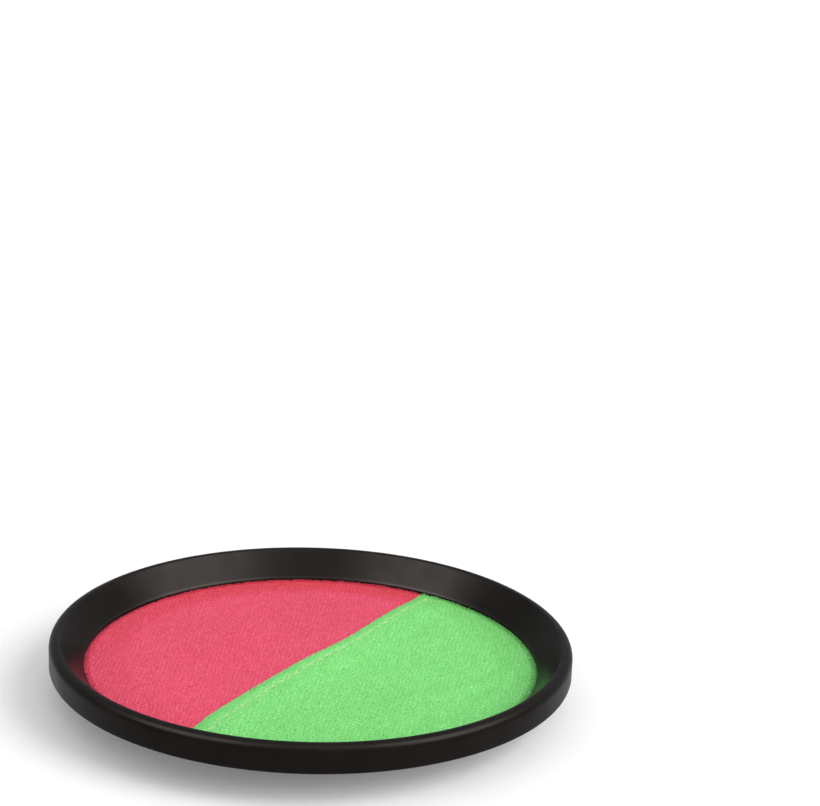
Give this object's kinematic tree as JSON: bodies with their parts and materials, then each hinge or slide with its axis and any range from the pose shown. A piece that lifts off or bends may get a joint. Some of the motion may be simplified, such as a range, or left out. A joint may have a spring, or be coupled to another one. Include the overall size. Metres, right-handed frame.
{
  "type": "hook and loop catch paddle",
  "caption": "Round catch paddle with a dished black rim, a two-colour loop-cloth face that a hook-covered ball sticks to, and an adjustable hand strap across its back.",
  "frame": {"origin": "middle of the paddle, on the surface that its two rails lie on", "axes": "+Z out of the cloth face, +Y along the seam of the cloth, +X along the strap towards the green half"},
  "size_m": [0.19, 0.19, 0.0228],
  "materials": {
    "rim": "satin moulded black",
    "back": "fine-textured black",
    "screw_steel": "zinc-plated",
    "pin_steel": "drawn wire",
    "foam": "closed-cell foam",
    "pink_loop": "brushed loop cloth",
    "green_loop": "brushed loop cloth",
    "seam_thread": "pale spun thread",
    "webbing": "woven webbing",
    "strap_thread": "spun thread",
    "closure_loop": "loop pile",
    "closure_hook": "moulded hooks"
  },
  "bodies": {
    "paddle": {"rim_frame": "rim", "back_plate": "back", "rim_screws": "screw_steel", "foam_pad": "foam", "pink_cloth": "pink_loop", "green_cloth": "green_loop", "seam_topstitch": "seam_thread", "left_strap_pin": "pin_steel", "right_strap_pin": "pin_steel"},
    "inner_leg": {"inner_strap_leg": "webbing", "inner_loop_stitching": "strap_thread"},
    "inner_tongue": {"inner_strap_tongue": "webbing", "loop_patch": "closure_loop", "loop_patch_stitching": "strap_thread"},
    "outer_leg": {"outer_strap_leg": "webbing", "outer_loop_stitching": "strap_thread"},
    "outer_bridge": {"outer_strap_bridge": "webbing"},
    "outer_flap": {"outer_strap_flap": "webbing", "hook_patch": "closure_hook", "hook_patch_stitching": "strap_thread"}
  },
  "joints": [
    {"name": "hand_loop_open", "type": "hinge", "parent": "paddle", "child": "inner_leg", "pos_m": [-0.054, 0, 0.00582], "axis": [0, 1, 0], "range_deg": [0, 47.5]},
    {"name": "inner_fold", "type": "hinge", "parent": "inner_leg", "child": "inner_tongue", "pos_m": [-0.02205, 0, 0.00395], "axis": [0, -1, 0], "range_deg": [0, 47.5]},
    {"name": "outer_leg_swing", "type": "hinge", "parent": "paddle", "child": "outer_leg", "pos_m": [0.054, 0, 0.00582], "axis": [0, -1, 0], "range_deg": [0, 47.5]},
    {"name": "outer_fold", "type": "hinge", "parent": "outer_leg", "child": "outer_bridge", "pos_m": [0.02205, 0, 0.00395], "axis": [0, 1, 0], "range_deg": [0, 47.5]},
    {"name": "flap_peel", "type": "hinge", "parent": "outer_bridge", "child": "outer_flap", "pos_m": [0.01055, 0, 0.00105], "axis": [0, -1, 0], "range_deg": [0, 110]}
  ],
  "couplings": [
    {"joint": "inner_fold", "follows": "hand_loop_open", "ratio": 1},
    {"joint": "outer_leg_swing", "follows": "hand_loop_open", "ratio": 1},
    {"joint": "outer_fold", "follows": "hand_loop_open", "ratio": 1}
  ]
}
